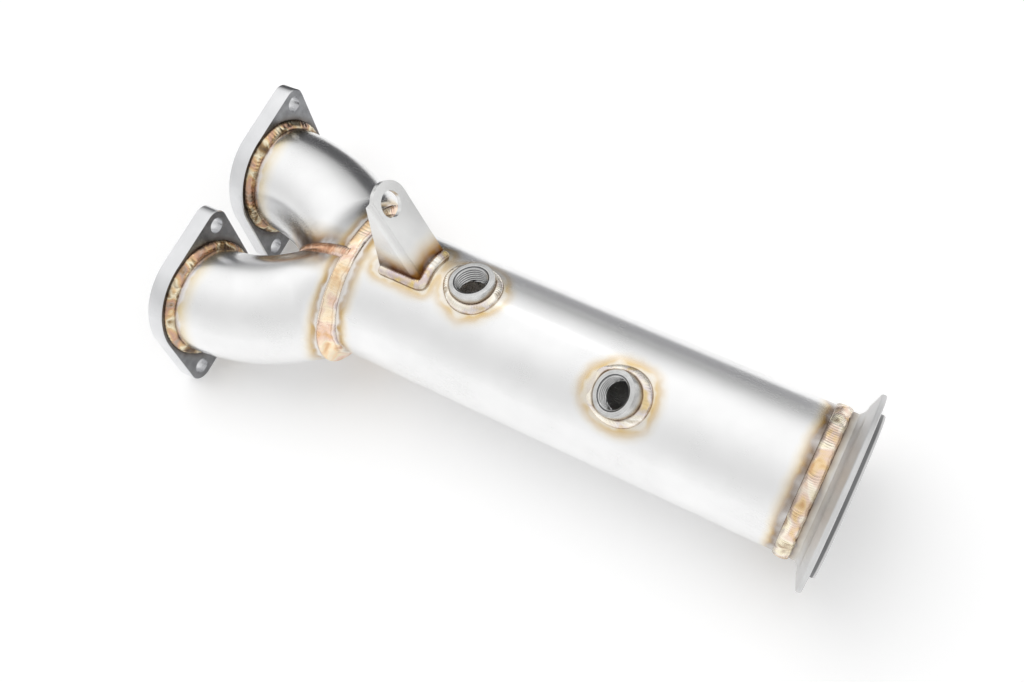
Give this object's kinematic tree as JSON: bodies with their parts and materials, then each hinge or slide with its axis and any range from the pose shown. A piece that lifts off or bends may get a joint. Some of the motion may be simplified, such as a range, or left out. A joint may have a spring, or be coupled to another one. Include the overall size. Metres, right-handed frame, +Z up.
{
  "type": "turbo downpipe",
  "caption": "Turbo downpipe of satin stainless tube: flanged inlet legs merge into a straight pipe ending in a V-band flange, with sensor bungs and a folded support bracket.",
  "frame": {"origin": "centre of the outlet sealing face", "axes": "+X out of the outlet along the main pipe, +Z up as the part rests, +Y to the left of the gas flow"},
  "size_m": [0.3722, 0.1674, 0.1302],
  "materials": {
    "tube_steel": "satin polished, with straw and brown heat tint beside the welds",
    "flange_steel": "milled plate, satin",
    "outlet_flange_steel": "turned, bright satin",
    "bung_steel": "turned, with threads inside",
    "bracket_steel": "satin sheet, brown heat tint at its foot",
    "weld_bead": "rippled weld bead, gold to copper"
  },
  "bodies": {
    "root": {"bracket_weld": "weld_bead", "crotch_weld": "weld_bead", "downstream_bung_weld": "weld_bead", "downstream_sensor_bung": "bung_steel", "junction_weld": "weld_bead", "left_flange_weld": "weld_bead", "left_inlet_flange": "flange_steel", "left_inlet_leg": "tube_steel", "left_seal_weld": "weld_bead", "main_pipe": "tube_steel", "outlet_flange": "outlet_flange_steel", "outlet_weld": "weld_bead", "right_flange_weld": "weld_bead", "right_inlet_flange": "flange_steel", "right_inlet_leg": "tube_steel", "right_seal_weld": "weld_bead", "support_bracket": "bracket_steel", "upstream_bung_weld": "weld_bead", "upstream_sensor_bung": "bung_steel"}
  },
  "joints": []
}
